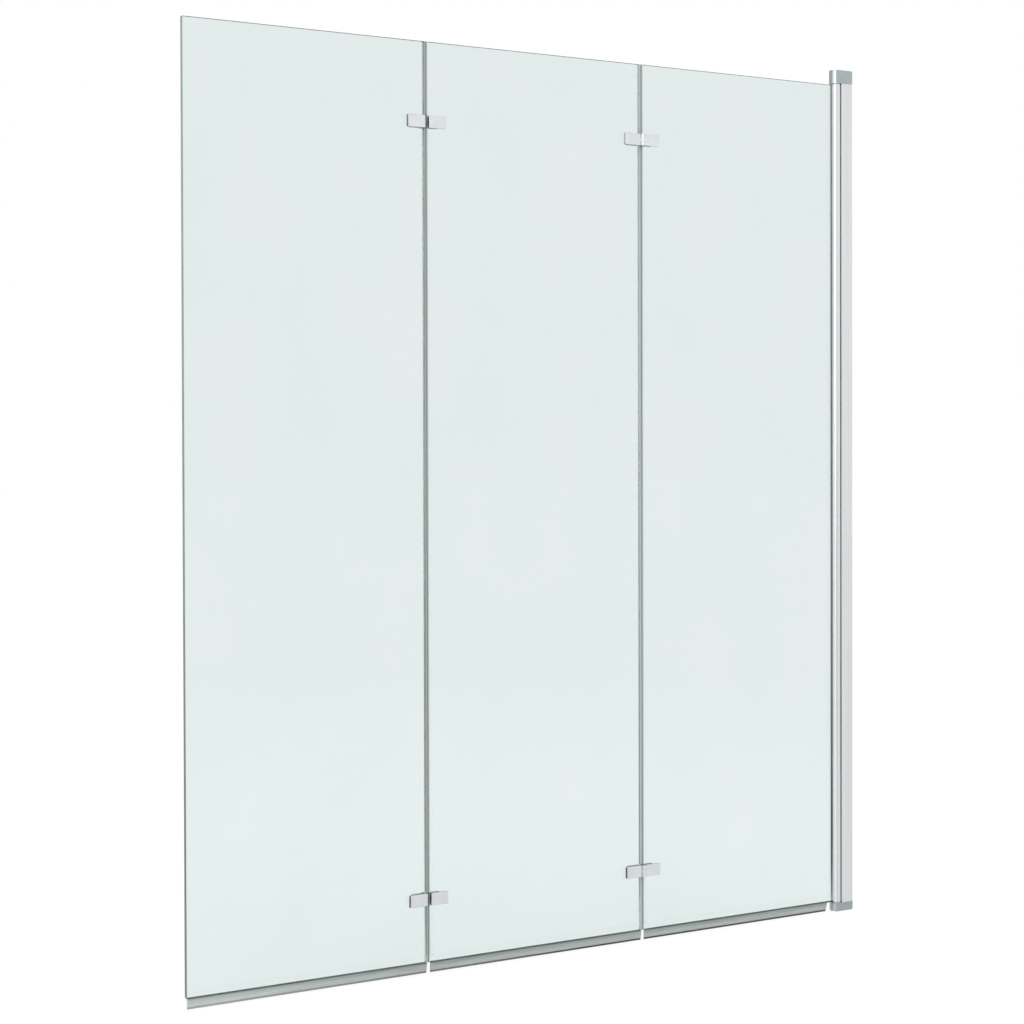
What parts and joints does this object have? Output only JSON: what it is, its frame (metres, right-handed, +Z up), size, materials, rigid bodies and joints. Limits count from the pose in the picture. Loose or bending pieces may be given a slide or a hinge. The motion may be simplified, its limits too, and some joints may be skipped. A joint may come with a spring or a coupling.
{
  "type": "folding bath screen",
  "caption": "Folding bath screen: glass leaves on slim chrome hinges that swing on an aluminium wall profile and fold flat, with clear seals along the bath rim.",
  "frame": {"origin": "centre of the flat back of the wall profile, the face that lies on the wall, at half of the screen's height", "axes": "+Z up; +X into the wall, so the open screen reaches along -X to its free edge; -Y is the front, the side that the picture shows"},
  "size_m": [1.3, 0.0297, 1.378],
  "materials": {
    "profile_aluminium": "bright anodised, fine lengthwise streaks",
    "cap_grey": "satin grey moulded plastic",
    "chrome": "polished chrome plate",
    "steel": "plain stainless steel",
    "nylon_white": "moulded nylon",
    "gasket_grey": "soft translucent PVC",
    "seal_clear": "clear soft PVC, grey where it is thick",
    "tempered_glass": "clear toughened glass, pale green, ground edges"
  },
  "bodies": {
    "wall_side": {"wall_profile": "profile_aluminium", "adjusting_profile": "profile_aluminium", "adjusting_screws": "steel", "cap_screws": "steel", "screw_covers": "chrome", "top_cap": "cap_grey", "bottom_cap": "cap_grey", "top_pivot_bush": "nylon_white", "bottom_pivot_bush": "nylon_white"},
    "inner_leaf": {"pivot_profile": "profile_aluminium", "top_pivot_plug": "steel", "bottom_pivot_plug": "steel", "glazing_gasket": "gasket_grey", "inner_glass": "tempered_glass", "inner_bottom_seal": "seal_clear", "inner_joint_seal": "seal_clear", "inner_leaf_hinge_screws": "steel", "inner_leaf_hinge_pads": "gasket_grey", "inner_leaf_glass_sleeves": "nylon_white", "inner_upper_hinge_wall_knuckle": "chrome", "inner_upper_hinge_wall_cover": "chrome", "inner_upper_hinge_pin": "steel", "inner_lower_hinge_wall_knuckle": "chrome", "inner_lower_hinge_wall_cover": "chrome", "inner_lower_hinge_pin": "steel"},
    "middle_leaf": {"middle_glass": "tempered_glass", "middle_bottom_seal": "seal_clear", "middle_joint_seal": "seal_clear", "middle_leaf_hinge_screws": "steel", "middle_leaf_hinge_pads": "gasket_grey", "middle_leaf_glass_sleeves": "nylon_white", "inner_upper_hinge_free_knuckle": "chrome", "inner_upper_hinge_free_cover": "chrome", "outer_upper_hinge_wall_knuckle": "chrome", "outer_upper_hinge_wall_cover": "chrome", "outer_upper_hinge_pin": "steel", "inner_lower_hinge_free_knuckle": "chrome", "inner_lower_hinge_free_cover": "chrome", "outer_lower_hinge_wall_knuckle": "chrome", "outer_lower_hinge_wall_cover": "chrome", "outer_lower_hinge_pin": "steel"},
    "outer_leaf": {"outer_glass": "tempered_glass", "outer_bottom_seal": "seal_clear", "outer_leaf_hinge_screws": "steel", "outer_leaf_hinge_pads": "gasket_grey", "outer_leaf_glass_sleeves": "nylon_white", "outer_upper_hinge_free_knuckle": "chrome", "outer_upper_hinge_free_cover": "chrome", "outer_lower_hinge_free_knuckle": "chrome", "outer_lower_hinge_free_cover": "chrome"}
  },
  "joints": [
    {"name": "wall_pivot", "type": "hinge", "parent": "wall_side", "child": "inner_leaf", "pos_m": [-0.0326, 0, 0], "axis": [0, 0, 1], "range_deg": [-90, 90]},
    {"name": "inner_fold", "type": "hinge", "parent": "inner_leaf", "child": "middle_leaf", "pos_m": [-0.4595, -0.008, 0], "axis": [0, 0, 1], "range_deg": [0, 175]},
    {"name": "outer_fold", "type": "hinge", "parent": "middle_leaf", "child": "outer_leaf", "pos_m": [-0.8815, 0.008, 0], "axis": [0, 0, -1], "range_deg": [0, 175]}
  ]
}
